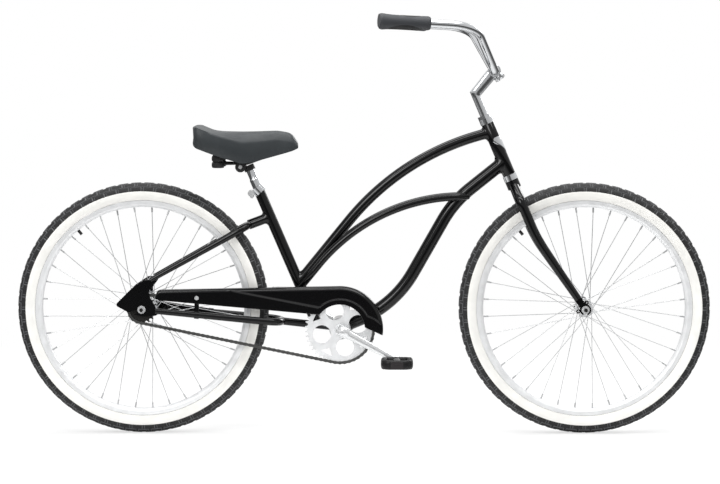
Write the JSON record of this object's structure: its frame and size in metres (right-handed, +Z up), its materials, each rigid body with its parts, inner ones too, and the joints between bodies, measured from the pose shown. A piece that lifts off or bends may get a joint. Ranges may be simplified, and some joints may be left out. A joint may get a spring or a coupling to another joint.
{
  "type": "beach cruiser bicycle",
  "caption": "Step-through beach cruiser bicycle with curved tubes, swept-back bar, wide saddle, chain guard, whitewall tyres and a coaster hub.",
  "frame": {"origin": "on the ground under the middle of the wheelbase, in the bicycle's middle plane", "axes": "+X forward, +Y to the rider's left, +Z up"},
  "size_m": [1.833, 0.7178, 1.1086],
  "materials": {
    "frame_paint": "gloss",
    "chrome": "polished",
    "steel": "satin",
    "aluminium": "satin",
    "dark_steel": "satin",
    "tyre_black": "matte",
    "tyre_white": "matte",
    "rubber": "matte",
    "saddle_vinyl": "satin",
    "black_plastic": "matte"
  },
  "bodies": {
    "frame": {"head_tube": "frame_paint", "top_tube": "frame_paint", "down_tube": "frame_paint", "side_tubes": "frame_paint", "seat_tube": "frame_paint", "bracket_shell": "frame_paint", "stay_bridges": "frame_paint", "chainstay_loop": "frame_paint", "seatstay_loop": "frame_paint", "rear_dropouts": "frame_paint", "headset_cups": "chrome", "frame_bearings": "steel", "bracket_cups": "steel", "head_badge": "chrome", "chain_guard": "frame_paint", "guard_brackets": "frame_paint", "frame_screws": "steel", "seat_collar": "chrome", "rear_axle": "steel", "rear_axle_nuts": "steel", "brake_arm": "frame_paint", "drive_chain": "dark_steel"},
    "fork": {"fork_crown": "frame_paint", "fork_blades": "frame_paint", "fork_ends": "frame_paint", "fork_eyelets": "frame_paint", "headset_races": "chrome", "front_axle": "steel", "front_axle_nuts": "steel"},
    "stem": {"stem": "chrome", "stem_bolt": "steel"},
    "handlebar": {"handlebar": "chrome", "grips": "rubber"},
    "front_wheel": {"front_tyre": "tyre_black", "front_whitewalls": "tyre_white", "front_inner_tube": "rubber", "front_rim": "aluminium", "front_spokes": "steel", "front_hub": "aluminium"},
    "rear_wheel": {"rear_tyre": "tyre_black", "rear_whitewalls": "tyre_white", "rear_inner_tube": "rubber", "rear_rim": "aluminium", "rear_spokes": "steel", "rear_hub": "aluminium"},
    "rear_sprocket": {"rear_sprocket": "dark_steel"},
    "crank": {"crank": "chrome", "chainring": "aluminium", "crank_cones": "steel", "pedal_axles": "steel"},
    "pedal_right": {"pedal_right": "black_plastic"},
    "pedal_left": {"pedal_left": "black_plastic"},
    "seat_post": {"seat_post": "chrome", "saddle_clamp": "dark_steel", "saddle_clamp_bolt": "steel"},
    "saddle": {"saddle_cover": "saddle_vinyl", "saddle_base": "black_plastic", "saddle_rails": "dark_steel", "saddle_bumpers": "rubber"}
  },
  "joints": [
    {"name": "steering", "type": "hinge", "parent": "frame", "child": "fork", "pos_m": [0.54164, 0, 0.31456], "axis": [-0.3899, 0, 0.9208], "continuous": true},
    {"name": "stem_height", "type": "slide", "parent": "fork", "child": "stem", "axis": [-0.3899, 0, 0.9208], "range_m": [-0.03, 0.02]},
    {"name": "handlebar_tilt", "type": "hinge", "parent": "stem", "child": "handlebar", "pos_m": [0.34404, 0, 0.9603], "axis": [0, 1, 0], "range_deg": [-30, 30]},
    {"name": "front_wheel_spin", "type": "hinge", "parent": "fork", "child": "front_wheel", "pos_m": [0.584, 0, 0.3325], "axis": [0, 1, 0], "continuous": true},
    {"name": "rear_wheel_spin", "type": "hinge", "parent": "frame", "child": "rear_wheel", "pos_m": [-0.584, 0, 0.3325], "axis": [0, 1, 0], "continuous": true},
    {"name": "crank_spin", "type": "hinge", "parent": "frame", "child": "crank", "pos_m": [-0.06222, 0, 0.28], "axis": [0, 1, 0], "continuous": true, "deforming": ["drive_chain"]},
    {"name": "sprocket_spin", "type": "hinge", "parent": "frame", "child": "rear_sprocket", "pos_m": [-0.584, 0, 0.3325], "axis": [0, 1, 0], "continuous": true},
    {"name": "pedal_right_spin", "type": "hinge", "parent": "crank", "child": "pedal_right", "pos_m": [0.08788, 0, 0.20019], "axis": [0, 1, 0], "continuous": true},
    {"name": "pedal_left_spin", "type": "hinge", "parent": "crank", "child": "pedal_left", "pos_m": [-0.21232, 0, 0.35981], "axis": [0, 1, 0], "continuous": true},
    {"name": "seat_height", "type": "slide", "parent": "frame", "child": "seat_post", "axis": [-0.3955, 0, 0.9184], "range_m": [-0.035, 0.1]},
    {"name": "saddle_tilt", "type": "hinge", "parent": "seat_post", "child": "saddle", "pos_m": [-0.32455, 0, 0.70665], "axis": [0, 1, 0], "range_deg": [-12, 12]}
  ],
  "couplings": [
    {"joint": "sprocket_spin", "follows": "crank_spin", "ratio": 2.4444}
  ]
}
